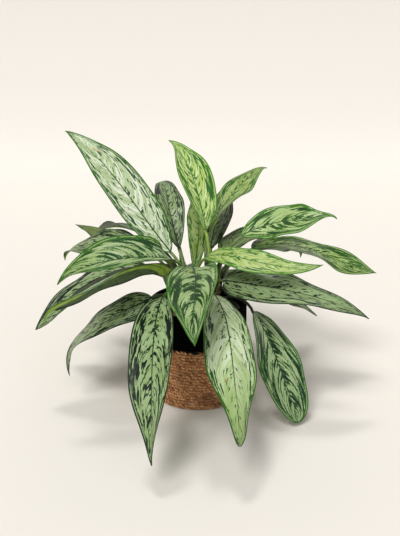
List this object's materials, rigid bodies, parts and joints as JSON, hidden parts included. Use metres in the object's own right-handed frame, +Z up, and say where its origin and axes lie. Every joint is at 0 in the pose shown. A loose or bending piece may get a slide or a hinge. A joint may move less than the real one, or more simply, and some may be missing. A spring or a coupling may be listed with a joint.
{
  "type": "potted chinese evergreen",
  "caption": "Bushy chinese evergreen with long silver-patterned leaves on short canes, in a nursery pot inside a round woven seagrass basket with black-dyed upper rows.",
  "frame": {"origin": "centre of the basket's underside, on the surface it stands on", "axes": "+Z up, +X to the right and +Y to the back as the plant is seen from its front"},
  "size_m": [0.5226, 0.5141, 0.3949],
  "materials": {
    "old_leaf": "waxy satin leaf, silver green with dark green blotches and margins",
    "new_leaf": "waxy satin young leaf, yellow green with mid green blotches",
    "cane": "smooth green plant cane ringed with leaf scars",
    "potting_mix": "moist crumbly peat and bark",
    "black_plastic": "thin moulded nursery pot, matte",
    "natural_seagrass": "twisted seagrass cord in close rows, natural brown",
    "dyed_seagrass": "twisted seagrass cord in close rows, dyed black"
  },
  "bodies": {
    "root": {"basket_seagrass": "natural_seagrass", "basket_dyed_band": "dyed_seagrass", "grow_pot": "black_plastic", "potting_soil": "potting_mix", "cane_centre": "cane", "cane_right": "cane", "cane_left": "cane", "cane_back_right": "cane", "cane_back_left": "cane", "leaf_tall_left": "old_leaf", "leaf_back_left_upright": "old_leaf", "leaf_behind_new": "old_leaf", "leaf_left_arching": "old_leaf", "leaf_front_centre": "old_leaf", "leaf_new_right_front": "new_leaf", "leaf_new_upright": "new_leaf", "leaf_new_right": "new_leaf", "leaf_back_right_upright": "old_leaf", "leaf_right_upper": "old_leaf", "leaf_right_upper_inner": "old_leaf", "leaf_right_large": "old_leaf", "leaf_front_right_hanging": "old_leaf", "leaf_right_hanging": "old_leaf", "leaf_left_back_curled": "old_leaf", "leaf_left_long": "old_leaf", "leaf_left_turned": "old_leaf", "leaf_left_low": "old_leaf", "leaf_front_left_hanging": "old_leaf", "leaf_right_far": "old_leaf", "leaf_right_under": "old_leaf", "leaf_right_inner": "old_leaf", "leaf_left_back_narrow": "old_leaf", "leaf_left_back_wide": "old_leaf", "leaf_rear_centre": "old_leaf", "leaf_rear_right_hanging": "old_leaf", "leaf_rear_hanging": "old_leaf", "leaf_rear_left": "old_leaf", "leaf_rear_low_left": "old_leaf"}
  },
  "joints": []
}
